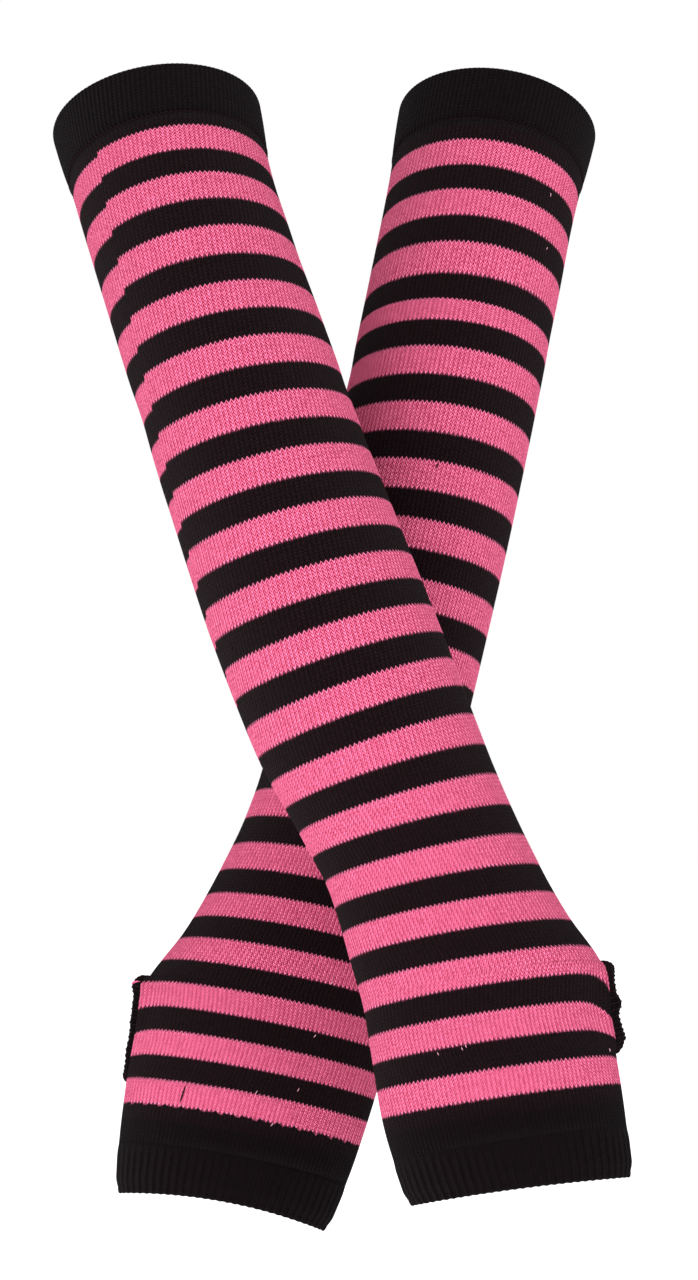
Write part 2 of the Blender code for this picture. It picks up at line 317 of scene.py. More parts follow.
def crease_lift(sleeve, heights, shares):
    """How far the creases lift the cloth."""
    lift = np.zeros(len(heights))
    for crease in sleeve.creases:
        round_length = ring_at(sleeve, crease.height)[2][-1]
        along = ((shares - crease.share + 0.5) % 1 - 0.5) * round_length
        up = heights - crease.height
        turn = math.radians(crease.lean)
        level = (along * math.cos(turn) + up * math.sin(turn)) / crease.length
        cross = (up * math.cos(turn) - along * math.sin(turn)) / crease.width
        lift += crease.lift * np.exp(-(level**2) - cross**2)
    return lift


def on_sleeve(sleeve, heights, shares, outsets, starts=None):
    """Points at these heights and shares of the way round, outsets off the sleeve. A start
    leaves that much of the ring open on both sides of the thumb's line."""
    heights, shares = np.asarray(heights, float), np.asarray(shares, float)
    starts = np.zeros(len(heights)) if starts is None else np.asarray(starts, float)
    outsets = outsets + crease_lift(sleeve, heights, shares)
    places = np.empty((len(heights), 3))
    for height in np.unique(heights):
        here = heights == height
        points, outward, lengths = ring_at(sleeve, height)
        distances = (starts[here] + shares[here] * (lengths[-1] - 2 * starts[here])) % lengths[-1]
        for axis in range(3):
            place = np.interp(distances, lengths, points[:, axis])
            out = np.interp(distances, lengths, outward[:, axis])
            places[here, axis] = place + out * outsets[here]
    return places * MM


def drift_at(sleeve, heights):
    """How far the wales have turned about the arm at a height, as a share of the way round."""
    part = (np.asarray(heights, float) - DRIFT_FROM) / (DRIFT_TO - DRIFT_FROM)
    return -sleeve.drift / 360 * np.maximum(part, 0)


def stripes_at(sleeve, heights):
    """How many stripes lie above these heights."""
    return on_curve(sleeve.tension, heights)[..., 1]


def slit_half(sleeve, heights):
    """Half the opening of the thumb slit, an ellipse, at a height."""
    part = (np.asarray(heights, float) - sleeve.slit_centre) / (sleeve.slit_length / 2)
    return sleeve.slit_width / 2 * np.sqrt(np.clip(1 - part**2, 0, None))


def edge_at(sleeve, turns):
    """The stand, sway and flare of the slit's edge at these angles round it, in degrees."""
    table = np.array(sleeve.edge, float)
    around = np.concatenate([table[-1:] - [360, 0, 0, 0], table, table[:1] + [360, 0, 0, 0]])
    turns = np.asarray(turns, float) % 360
    low = np.clip(np.searchsorted(around[:, 0], turns) - 1, 0, len(around) - 2)
    part = (turns - around[low, 0]) / (around[low + 1, 0] - around[low, 0])
    part = (0.5 - 0.5 * np.cos(math.pi * part))[:, None]
    return (around[low, 1:] * (1 - part) + around[low + 1, 1:] * part).T


def away_from_slit(sleeve, shares):
    """How far the cloth lies round from the slit's edge."""
    return np.minimum(shares % 1, 1 - shares % 1) * ring_at(sleeve, sleeve.slit_centre)[2][-1]


def flare_at(sleeve, heights, shares):
    """How far the slit's edge lifts the cloth."""
    part = (heights - sleeve.slit_centre) / (sleeve.slit_length / 2)
    turns = np.degrees(np.arccos(np.clip(part, -1, 1)))
    flare = edge_at(sleeve, np.where(shares % 1 < 0.5, turns, 360 - turns))[2]
    beyond = np.clip(np.abs(part) - 1, 0, None) * sleeve.slit_length / 2
    away = away_from_slit(sleeve, shares)
    return flare * np.exp(-((away / FLARE_REACH) ** 2) - (beyond / FLARE_LENGTH) ** 2)


def knitted_piece(name, columns, rows, place, stitches):
    """A grid of cloth. place gives the points at each column and row, and stitches the values
    of its maps there, for the middle column of the face that reads them."""
    shape = bmesh.new()
    bmesh.ops.create_grid(shape, x_segments=columns, y_segments=rows, size=0.5)
    mesh = bpy.data.meshes.new(name)
    shape.to_mesh(mesh)
    shape.free()
    flat = np.empty(len(mesh.vertices) * 3)
    mesh.vertices.foreach_get("co", flat)
    across = np.rint((flat[0::3] + 0.5) * columns).astype(int)
    down = np.rint((0.5 - flat[1::3]) * rows).astype(int)
    mesh.vertices.foreach_set("co", place(across, down).ravel())

    corners = np.empty(len(mesh.loops), dtype=int)
    mesh.loops.foreach_get("vertex_index", corners)
    middles = np.repeat(across[corners].reshape(-1, 4).mean(axis=1), 4)
    for layer, values in stitches(across[corners], down[corners], middles).items():
        mesh.uv_layers.new(name=layer).uv.foreach_set("vector", np.stack(values, axis=1).ravel())

    shape = bmesh.new()
    shape.from_mesh(mesh)
    bmesh.ops.remove_doubles(shape, verts=shape.verts, dist=MERGE_DISTANCE)
    bmesh.ops.recalc_face_normals(shape, faces=shape.faces)
    shape.to_mesh(mesh)
    shape.free()
    mesh.shade_smooth()
    piece = bpy.data.objects.new(name, mesh)
    bpy.context.scene.collection.objects.link(piece)
    return piece


def jersey_rows(sleeve):
    """Heights of the rows of a striped tube, closer together at the thumb slit."""
    top = sleeve.sections[0].height - sleeve.upper_welt
    bottom = sleeve.sections[-1].height + sleeve.hand_welt
    slit_top = sleeve.slit_centre + sleeve.slit_length / 2
    slit_foot = sleeve.slit_centre - sleeve.slit_length / 2
    turns = np.linspace(0, math.pi, SLIT_ROWS + 1)
    above = np.linspace(top, slit_top, round((top - slit_top) / ROW_SPACING) + 1)
    beside = sleeve.slit_centre + sleeve.slit_length / 2 * np.cos(turns)
    below = np.linspace(slit_foot, bottom, round((slit_foot - bottom) / ROW_SPACING) + 1)
    return np.concatenate([above[:-1], beside, below[1:]])


def rounds_past_jog(sleeve, wales, middles):
    """How far the spiral of knitting has climbed since the jog, in stripes."""
    past = (wales - sleeve.jog) + np.where(middles < sleeve.jog, NEEDLES, 0)
    return JOG_COURSES / COURSES_A_STRIPE * (past / NEEDLES - JOG_LEVEL)


def striped_sleeve(sleeve):
    """The mesh of a striped tube, open along the thumb slit."""
    heights = jersey_rows(sleeve)
    columns = NEEDLES * COLUMNS_A_WALE

    def place(across, down):
        at = heights[down]
        wales = across / COLUMNS_A_WALE
        shares = wales / NEEDLES + drift_at(sleeve, at)
        outsets = flare_at(sleeve, at, shares) - np.where(across % COLUMNS_A_WALE, 0, GROOVE_DEPTH)
        return on_sleeve(sleeve, at, shares, outsets, slit_half(sleeve, at))

    def stitches(across, down, middles):
        wales = across / COLUMNS_A_WALE
        from_slit = (heights[down] - sleeve.slit_centre) / DRAG_LENGTH
        away = away_from_slit(sleeve, wales / NEEDLES) / DRAG_REACH
        passed = stripes_at(sleeve, heights[down] + sleeve.drag * np.exp(-(from_slit**2) - away))
        passed = passed + rounds_past_jog(sleeve, wales, middles / COLUMNS_A_WALE)
        ending = np.clip(passed - sleeve.last_stripe + 1, 0, 1)
        uneven = sleeve.ragged * np.sin(RAGGED_FINE * wales) * np.sin(RAGGED_BROAD * wales + 1)
        last = sleeve.last_stripe + PLAIN_MARGIN
        shown = np.clip(passed + ending * uneven, -PLAIN_MARGIN, last)
        return {"knit": (wales, passed * COURSES_A_STRIPE), "stripes": (shown, passed)}

    return knitted_piece(f"{sleeve.name}_striped_sleeve", columns, len(heights) - 1, place, stitches)


# The yarns' colours hold painted light: each yarn is painted lighter where a loop faces out, as a
# painted highlight, and darker in the holes between the loops, as painted shade. PINK_BEHIND is the
# darker pink painted in the holes of the first course of a black stripe, where the pink of the
# course before shows through: real colour with painted shade. BLACK_PLAIN is the black of cloth with
# no pink in it, which the ends of the tubes reach over 1 / PLAIN_TURN of a stripe.
PINK_LIT = (1.0, 0.225, 0.415, 1)
PINK_SHADED = (0.25, 0.002, 0.026, 1)
PINK_BEHIND = (0.22, 0.05, 0.09, 1)
BLACK_LIT = (0.0150, 0.0062, 0.0082, 1)
BLACK_PLAIN = (0.0072, 0.0040, 0.0049, 1)
BLACK_SHADED = (0.0008, 0.0005, 0.0006, 1)
PLAIN_TURN = 4.0
YARN_ROUGHNESS = 1.0
YARN_SPECULAR = 0.02
NAP = 0.02
NAP_ROUGHNESS = 0.5

# A loop's two legs rise from the middle of a wale by LEG_RISE courses. Its yarn looks narrower
# towards the holes beside it, which sit low in their course, so the painted shade between the loops
# widens there, and SHOULDER_DROP paints the yarn beside the holes darker and lowers its relief. On
# the reverse the loops swing up and down instead, and PURL_FACING dims their painted highlight. FRAY
# is how softly one colour ends in the next, as a part of two stripes.
LEG_RISE = 1.1
LEG_NARROWING = 1.2
HOLE_NARROWING = 4.5
HOLE_DROP = 0.4
SHOULDER_DROP = 0.15
PURL_SWING = 0.3
PURL_NARROWING = 0.7
PURL_FACING = 0.9
FRAY = 0.022

# The relief of the loops, and the yarn's unevenness: the slack at a stripe's border, broad
# patches, and a difference from loop to loop. Only the middle of the noise counts.
RELIEF_STRENGTH = 0.8
LOOP_RELIEF = 0.35
Unevenness = namedtuple("Unevenness", "scale low high")
BORDER_SLACK = Unevenness(0.9, -0.018, 0.018)
JERSEY_PATCHES = Unevenness(0.35, 0.86, 1.12)
JERSEY_LOOPS = Unevenness(1.3, 0.5, 1.35)
NOISE_DETAIL = 3
NOISE_LOW, NOISE_HIGH = 0.3, 0.7


def add_node(tree, kind, **settings):
    """A node with these properties set."""
    node = tree.nodes.new(kind)
    for name, value in settings.items():
        setattr(node, name, value)
    return node


def feed(tree, sockets, values):
    """Gives each of these inputs its value, which is a number, a colour or another socket."""
    for socket, value in zip(sockets, values):
        if isinstance(value, bpy.types.NodeSocket):
            tree.links.new(value, socket)
        else:
            socket.default_value = value


def maths(tree, operation, *values):
    """The result of a Math node on numbers or sockets."""
    node = add_node(tree, "ShaderNodeMath", operation=operation)
    feed(tree, node.inputs, values)
    return node.outputs[0]


def blend(tree, factor, low, high):
    """The result of a Mix node on colours."""
    node = add_node(tree, "ShaderNodeMix", data_type="RGBA")
    feed(tree, (node.inputs[0], node.inputs[6], node.inputs[7]), (factor, low, high))
    return node.outputs[2]


def map_of(tree, layer):
    """The two values of one of the cloth's maps."""
    source = add_node(tree, "ShaderNodeUVMap", uv_map=layer)
    parts = add_node(tree, "ShaderNodeSeparateXYZ")
    tree.links.new(source.outputs[0], parts.inputs[0])
    return parts.outputs[0], parts.outputs[1]


def new_yarn(name):
    """A matt yarn with a short nap, with its node tree and shader."""
    material = bpy.data.materials.new(name)
    material.use_nodes = True
    tree = material.node_tree
    shader = tree.nodes["Principled BSDF"]
    shader.inputs["Roughness"].default_value = YARN_ROUGHNESS
    shader.inputs["Specular IOR Level"].default_value = YARN_SPECULAR
    shader.inputs["Sheen Weight"].default_value = NAP
    shader.inputs["Sheen Roughness"].default_value = NAP_ROUGHNESS
    return material, tree, shader


def yarn_noise(tree, wales, courses, unevenness):
    """Unevenness of the yarn, as a number between its low and its high."""
    place = add_node(tree, "ShaderNodeCombineXYZ")
    feed(tree, place.inputs, (wales, courses))
    noise = add_node(tree, "ShaderNodeTexNoise")
    noise.inputs["Scale"].default_value = unevenness.scale
    noise.inputs["Detail"].default_value = NOISE_DETAIL
    tree.links.new(place.outputs[0], noise.inputs["Vector"])
    spread = add_node(tree, "ShaderNodeMapRange")
    limits = (NOISE_LOW, NOISE_HIGH, unevenness.low, unevenness.high)
    feed(tree, spread.inputs, (noise.outputs[0], *limits))
    return spread.outputs[0]


def loop_shade_and_tone(tree, wales, courses, height, patches, loops):
    """The painted shade of each loop: how much its yarn faces out, times the yarn's random
    unevenness of tone; 0 paints the shaded colour and 1 the lit one.
    """
    shade = maths(tree, "MULTIPLY", height, yarn_noise(tree, wales, courses, patches))
    return maths(tree, "MULTIPLY", shade, yarn_noise(tree, wales, courses, loops))


def stitch_nodes(tree, purl=False):
    """The loops of the knitting: the wale and course coordinates, the holes between the wales, how
    far a loop's yarn leans from its course, and how much of it faces out, from 0 to 1, which serves
    both as the height of its bump and as the painted shade and highlight of its colour. A hole lies
    under the yarn of its course, nearer to the next."""
    wales, courses = map_of(tree, "knit")
    side = maths(tree, "ABSOLUTE", maths(tree, "MULTIPLY_ADD", maths(tree, "FRACT", wales), 2, -1))
    hole = maths(tree, "POWER", side, 2)
    if purl:
        swing = maths(tree, "COSINE", maths(tree, "MULTIPLY", wales, 2 * math.pi))
        lean = maths(tree, "MULTIPLY", swing, PURL_SWING)
        narrowing, facing, skew = PURL_NARROWING, PURL_FACING, 1
    else:
        lean = maths(tree, "MULTIPLY", maths(tree, "SUBTRACT", side, 0.5), LEG_RISE)
        narrowing = maths(tree, "MULTIPLY_ADD", hole, HOLE_NARROWING, LEG_NARROWING)
        facing = maths(tree, "MULTIPLY_ADD", hole, -SHOULDER_DROP, 1)
        skew = maths(tree, "MULTIPLY_ADD", hole, -HOLE_DROP, 1)
    turn = maths(tree, "FRACT", maths(tree, "ADD", courses, lean))
    turn = maths(tree, "POWER", turn, skew)
    strand = maths(tree, "SINE", maths(tree, "MULTIPLY", turn, math.pi))
    strand = maths(tree, "POWER", strand, narrowing)
    return wales, courses, hole, lean, maths(tree, "MULTIPLY", strand, facing)


def finish_cloth(tree, shader, colour, height, depth):
    """Links the colour, and the relief of the loops as a bump of this depth in millimetres."""
    tree.links.new(colour, shader.inputs["Base Color"])
    bump = add_node(tree, "ShaderNodeBump")
    bump.inputs["Strength"].default_value = RELIEF_STRENGTH
    bump.inputs["Distance"].default_value = depth * MM
    tree.links.new(height, bump.inputs["Height"])
    tree.links.new(bump.outputs[0], shader.inputs["Normal"])


def share_of_pink(tree, phase):
    """1 where the stripe at this phase is pink and 0 where it is black. One beat is a pink
    stripe and a black one."""
    beat = maths(tree, "FRACT", maths(tree, "MULTIPLY_ADD", phase, 0.5, 0.25))
    from_middle = maths(tree, "ABSOLUTE", maths(tree, "SUBTRACT", beat, 0.5))
    share = maths(tree, "MULTIPLY_ADD", from_middle, -1 / FRAY, 0.25 / FRAY + 0.5)
    share.node.use_clamp = True
    return share


def striped_jersey(name, purl):
    """Pink and black jersey, its right side in columns of Vs or its reverse in purl rows. Each loop
    is painted from a shaded colour in the holes to a lit colour where it faces out, as painted shade
    and highlight. The holes between the loops show the yarn of the course before, darkened with
    painted shade. Above the first stripe and below the last the black has no pink floats behind it
    and looks deeper."""
    material, tree, shader = new_yarn(name)
    wales, courses, hole, lean, height = stitch_nodes(tree, purl)
    phase, passed = map_of(tree, "stripes")
    beyond = maths(tree, "ABSOLUTE", maths(tree, "SUBTRACT", passed, phase))
    plain = maths(tree, "MULTIPLY", beyond, PLAIN_TURN)
    plain.node.use_clamp = True
    slack = yarn_noise(tree, wales, courses, BORDER_SLACK)
    leaning = maths(tree, "MULTIPLY_ADD", lean, 1 / COURSES_A_STRIPE, phase)
    phase = maths(tree, "ADD", leaning, slack)
    before = maths(tree, "MULTIPLY_ADD", hole, -1 / COURSES_A_STRIPE, phase)
    pink = share_of_pink(tree, phase)
    black = blend(tree, plain, BLACK_LIT, BLACK_PLAIN)
    bright = blend(tree, pink, black, PINK_LIT)
    pink_behind = blend(tree, pink, PINK_BEHIND, PINK_SHADED)
    deep = blend(tree, share_of_pink(tree, before), BLACK_SHADED, pink_behind)
    # Painted shade and highlight: the colour runs from the shaded colour in the holes to the lit
    # colour where a loop faces out.
    shade = loop_shade_and_tone(tree, wales, courses, height, JERSEY_PATCHES, JERSEY_LOOPS)
    finish_cloth(tree, shader, blend(tree, shade, deep, bright), height, LOOP_RELIEF)
    return material


jersey = striped_jersey("striped_jersey", purl=False)
jersey_reverse = striped_jersey("striped_jersey_reverse", purl=True)
for sleeve in SLEEVES:
    piece = striped_sleeve(sleeve)
    piece.data.materials.append(jersey)
    piece.data.materials.append(jersey_reverse)
    wall = piece.modifiers.new("wall", "SOLIDIFY")
    wall.thickness = JERSEY_WALL * MM
    wall.offset = -1
    wall.material_offset = 1
    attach(piece, "root")
    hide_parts(f"{sleeve.name}_upper_sleeve", f"{sleeve.name}_lower_sleeve")


# The turned welts: black jersey from the start of each tube, folded inwards at the rim and
# linked to the first rounds of the striped part, so the cloth there is double and lies a
# little proud. The linking thread makes a row of small loops round the arm.
#
# The double cloth stands WELT_STEP off the jersey, drawn in along the linking and swollen a
# little in its middle. The linking runs just below the welt's line, and its loops swing along
# the arm and rise and sink across the cloth.
WELT_WALL = 2.4
WELT_STEP = 0.4
WELT_DRAW = 0.3
WELT_DRAW_REACH = 1.6
WELT_SWELL = 0.15
WELT_ROWS = 12
FOLD_STEPS = 8
COURSE_PITCH = 1.2
LINKING_DROP = 0.1
LINKING_SWING = 0.45
LINKING_LIFT = 0.12
LINKING_WAVE = 0.18
LINKING_RADIUS = 0.2
LINKING_STEPS = 6
THREAD_SIDES = 6
PLIES = 2
PLY_STEPS = 2.0
THREAD_RELIEF = 0.1
WELT_PATCHES = Unevenness(0.35, 0.85, 1.15)
WELT_LOOPS = Unevenness(0.9, 0.6, 1.4)


def double_cloth(line, rim):
    """Heights and outsets of a turned welt: up its outside, over the fold, down its inside and
    back to its start."""
    radius = WELT_WALL / 2
    middle = WELT_STEP - radius
    fold = rim - radius
    part = np.linspace(0, 1, WELT_ROWS + 1)
    outer = line + (fold - line) * part
    drawn = WELT_DRAW * np.exp(-(((outer - line) / WELT_DRAW_REACH) ** 2))
    turn = np.linspace(0, math.pi, FOLD_STEPS + 1)[1:-1]
    heights = np.concatenate([outer, fold + radius * np.sin(turn), outer[::-1], [line]])
    outsets = np.concatenate([
        WELT_STEP + WELT_SWELL * np.sin(math.pi * part) - drawn,
        middle + radius * np.cos(turn),
        np.full(WELT_ROWS + 1, WELT_STEP - WELT_WALL),
        [WELT_STEP - WELT_DRAW],
    ])
    return heights, outsets


def ring_of_cloth(name, sleeve, heights, outsets, relief, shown, foot=0):
    """A closed strip round the arm. relief is each column's lift and shown how much of it each
    row has; foot lowers the lifted columns by that share of their relief where the cloth turns
    inwards."""
    columns = NEEDLES * COLUMNS_A_WALE
    lengths = np.hypot(np.diff(heights), np.diff(outsets))
    courses = np.concatenate([[0], np.cumsum(lengths)]) / COURSE_PITCH
    turning = foot * np.exp(-((heights - heights.min()) ** 2))

    def place(across, down):
        at = heights[down] - turning[down] * relief[across]
        shares = across / columns + drift_at(sleeve, at)
        return on_sleeve(sleeve, at, shares, outsets[down] + relief[across] * shown[down])

    def stitches(across, down, middles):
        return {"knit": (across / COLUMNS_A_WALE, courses[down])}

    return knitted_piece(name, columns, len(heights) - 1, place, stitches)


def thread(name, path, guide, radius, closed=True):
    """A thread on a path in metres, as a tube of this radius in millimetres. guide is a
    direction that its path never follows. An open thread tapers to a point at its ends."""
    ahead = np.roll(path, -1, axis=0) - np.roll(path, 1, axis=0)
    radii = np.full((len(path), 1), radius)
    if not closed:
        ahead[0], ahead[-1] = path[1] - path[0], path[-1] - path[-2]
        radii *= np.sqrt(np.sin(np.linspace(0, math.pi, len(path))).clip(0, 1))[:, None]
    ahead /= np.linalg.norm(ahead, axis=1)[:, None]
    first = np.cross(ahead, guide)
    first /= np.linalg.norm(first, axis=1)[:, None]
    second = np.cross(ahead, first)
    turns = 2 * math.pi * np.arange(THREAD_SIDES + 1) / THREAD_SIDES

    def place(across, down):
        at = across % len(path)
        turn = turns[down % THREAD_SIDES][:, None]
        return path[at] + radii[at] * MM * (np.cos(turn) * first[at] + np.sin(turn) * second[at])

    def stitches(across, down, middles):
        return {"knit": (across / PLY_STEPS, down / THREAD_SIDES)}

    steps = len(path) if closed else len(path) - 1
    return knitted_piece(name, steps, THREAD_SIDES, place, stitches)


def black_jersey(name):
    """Black jersey in fine upright wales, painted darker in the holes between the loops and lighter
    where a loop faces out, as painted shade and highlight.
    """
    material, tree, shader = new_yarn(name)
    wales, courses, _, _, height = stitch_nodes(tree)
    shade = loop_shade_and_tone(tree, wales, courses, height, WELT_PATCHES, WELT_LOOPS)
    colour = blend(tree, shade, BLACK_SHADED, BLACK_PLAIN)
    finish_cloth(tree, shader, colour, height, LOOP_RELIEF)
    return material


def twisted_thread(name, deep, bright):
    """Twisted thread: its plies wind along it, painted darker between the plies and lighter on their
    crests, as painted shade and highlight, with a bump of the same shape.
    """
    material, tree, shader = new_yarn(name)
    along, round_thread = map_of(tree, "knit")
    winding = maths(tree, "ADD", along, maths(tree, "MULTIPLY", round_thread, PLIES))
    ply = maths(tree, "SINE", maths(tree, "MULTIPLY", winding, math.pi))
    height = maths(tree, "ABSOLUTE", ply)
    finish_cloth(tree, shader, blend(tree, height, deep, bright), height, THREAD_RELIEF)
    return material


welt_jersey = black_jersey("black_welt_jersey")
sewing_thread = twisted_thread("black_thread", BLACK_SHADED, BLACK_LIT)
welt_columns = np.arange(NEEDLES * COLUMNS_A_WALE + 1)
wale_relief = np.where(welt_columns % COLUMNS_A_WALE == 0, -GROOVE_DEPTH, 0)
for sleeve in SLEEVES:
    rim = sleeve.sections[0].height
    line = rim - sleeve.upper_welt
    heights, outsets = double_cloth(line, rim)
    shown = np.where(outsets > WELT_STEP - WELT_WALL / 2, 1, 0)
    welt = ring_of_cloth(
        f"{sleeve.name}_turned_welt", sleeve, heights, outsets, wale_relief, shown,
    )
    welt.data.materials.append(welt_jersey)

    steps = np.arange(NEEDLES * LINKING_STEPS)
    loop = 2 * math.pi * steps / LINKING_STEPS
    at = line - LINKING_DROP + LINKING_SWING * np.sin(loop)
    shares = steps / len(steps)
    lift = LINKING_LIFT + LINKING_WAVE * np.cos(2 * loop)
    path = on_sleeve(sleeve, at, shares, lift)
    guide = on_sleeve(sleeve, at, shares, lift + 1) - path
    linking = thread(f"{sleeve.name}_linking_thread", path, guide, LINKING_RADIUS)
    linking.data.materials.append(sewing_thread)
    for piece in (welt, linking):
        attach(piece, "root")
    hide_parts(f"{sleeve.name}_upper_welt")


# The ribbed welts: black one-by-one rib at the end of each tube, which grips the hand across
# the knuckles. Every second wale stands up as a rib and the one between sinks back, and the
# ribs' ends make the hem a little uneven.
#
# The ribs rise within RIB_START of the welt's line. The hem is round, of HEM_RADIUS, and drawn in by
# HEM_DRAW.
RIB_HEIGHT = 0.4
RIB_START = 2.2
HEM_RADIUS = 1.6
HEM_DRAW = 0.8
HEM_DRAW_REACH = 1.3
HEM_UNEVEN = 0.6
RIB_ROWS = 10


def ribbed_cloth(line, hem):
    """Heights and outsets of a ribbed welt, and how far its ribs have risen: down its outside,
    round the hem, up its inside and back to its start."""
    inside = WELT_STEP - WELT_WALL
    radius = (-HEM_DRAW - inside) / 2
    foot = hem + HEM_RADIUS
    outer = np.linspace(line, foot, RIB_ROWS + 1)
    turn = np.linspace(0, math.pi, FOLD_STEPS + 1)[1:-1]
    heights = np.concatenate([outer, foot - HEM_RADIUS * np.sin(turn), outer[::-1], [line]])
    outsets = np.concatenate([
        -HEM_DRAW * np.exp(-(((outer - foot) / HEM_DRAW_REACH) ** 2)),
        radius * (np.cos(turn) - 1) - HEM_DRAW, np.full(RIB_ROWS + 1, inside), [0],
    ])
    risen = np.concatenate([
        1 - np.exp(-(((line - outer) / RIB_START) ** 2)), np.cos(turn / 2),
        np.zeros(RIB_ROWS + 2),
    ])
    return heights, outsets, risen


rib_jersey = black_jersey("black_rib")
rib_wales = welt_columns / COLUMNS_A_WALE
rib_relief = RIB_HEIGHT * (0.5 + 0.5 * np.cos(math.pi * (rib_wales - 0.5)))
for sleeve in SLEEVES:
    hem = sleeve.sections[-1].height
    heights, outsets, risen = ribbed_cloth(hem + sleeve.hand_welt, hem)
    welt = ring_of_cloth(
        f"{sleeve.name}_ribbed_welt", sleeve, heights, outsets, rib_relief, risen, HEM_UNEVEN,
    )
    welt.data.materials.append(rib_jersey)
    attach(welt, "root")
    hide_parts(f"{sleeve.name}_hand_welt")


# The thumb edges: the cut edge of each slit is wrapped in black overlock stitching, which
# stretches it, so that it stands out from the hand in uneven lobes.
#
# The band stands from EDGE_INSIDE behind the jersey's face to its crest. The overlock thread
# winds round it, lifted by OVERLOCK_PROUD of its radius, and its guide is the same path a
# little further round the slit.
EDGE_THICKNESS = 1.5
EDGE_INSET = -0.2
EDGE_INSIDE = 1.5
EDGE_STEPS = 180
EDGE_ROUND = 16
EDGE_SQUARENESS = 0.8
EDGE_LOOP_STEPS = 2.0
OVERLOCK_TURNS = 46
OVERLOCK_STEPS = 14
OVERLOCK_RADIUS = 0.24
OVERLOCK_PROUD = 0.4
OVERLOCK_GUIDE = 0.01


def edge_points(sleeve, turns, rounds, proud=0.0):
    """Points of the band that wraps the slit's edge: turns go round the slit and rounds go
    round the band, which grows by proud."""
    crest, sway, flare = edge_at(sleeve, np.degrees(turns))
    crest = crest + proud
    foot = flare - EDGE_INSIDE - proud
    wide = np.sign(np.cos(rounds)) * np.abs(np.cos(rounds)) ** EDGE_SQUARENESS
    tall = np.sign(np.sin(rounds)) * np.abs(np.sin(rounds)) ** EDGE_SQUARENESS
    outsets = (crest + foot) / 2 + (crest - foot) / 2 * tall
    inset = EDGE_INSET + EDGE_THICKNESS / 2 + (EDGE_THICKNESS / 2 + proud) * wide
    inset = inset + sway * np.clip((outsets - foot) / (crest - foot), 0, 1)
    heights = sleeve.slit_centre + (sleeve.slit_length / 2 - inset) * np.cos(turns)
    starts = (sleeve.slit_width / 2 - inset) * np.sin(turns)
    return on_sleeve(sleeve, heights, np.zeros(len(heights)), outsets, starts)


def edge_band(sleeve):
    """The mesh of the band that wraps the slit's edge."""

    def place(across, down):
        turns = 2 * math.pi * (across % EDGE_STEPS) / EDGE_STEPS
        rounds = 2 * math.pi * (down % EDGE_ROUND) / EDGE_ROUND
        return edge_points(sleeve, turns, rounds)

    def stitches(across, down, middles):
        return {"knit": (across / EDGE_LOOP_STEPS, down / EDGE_LOOP_STEPS)}

    return knitted_piece(f"{sleeve.name}_thumb_edge_band", EDGE_STEPS, EDGE_ROUND, place, stitches)


overlocked = black_jersey("black_overlocked_edge")
for sleeve in SLEEVES:
    band = edge_band(sleeve)
    band.data.materials.append(overlocked)

    steps = np.arange(OVERLOCK_TURNS * OVERLOCK_STEPS)
    turns = 2 * math.pi * steps / len(steps)
    rounds = 2 * math.pi * steps / OVERLOCK_STEPS
    proud = OVERLOCK_RADIUS * OVERLOCK_PROUD
    path = edge_points(sleeve, turns, rounds, proud)
    guide = edge_points(sleeve, turns + OVERLOCK_GUIDE, rounds, proud) - path
    overlock = thread(f"{sleeve.name}_overlock_thread", path, guide, OVERLOCK_RADIUS)
    overlock.data.materials.append(sewing_thread)
    for piece in (band, overlock):
        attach(piece, "root")
    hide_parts(f"{sleeve.name}_thumb_edge")

    # The heights of the sleeve's own rows are worked out again here, though nothing reads them; the
    # band and its thread are sewn to its cut.
    heights = jersey_rows(sleeve)


# Loose yarn: one stitch pulled out dark in the last pink stripe at a hand, a dark fibre caught
# in another, pale fibres that stand off the lower borders of stripes, and an end of pink yarn
# that shows between the overlock threads of one thumb edge.
# The pale fibres are painted darker between their plies and lighter on them, as painted shade and
# highlight.
PALE_SHADED = (1.0, 0.36, 0.50, 1)
PALE_LIT = (1.0, 0.60, 0.70, 1)
LOOSE_STEPS = 8
LOOSE_BOW = 0.25
FIBRE_LIFT = 0.15
FIBRE_RADIUS = 0.1

# height and share are the middle of a loose yarn, rise and along its reach up and round the
# arm. Its ends stand off the cloth by its lift and its middle by LOOSE_BOW more. A yarn that
# isn't pale is black.
LooseYarn = namedtuple("LooseYarn", "name sleeve height share rise along lift radius pale")

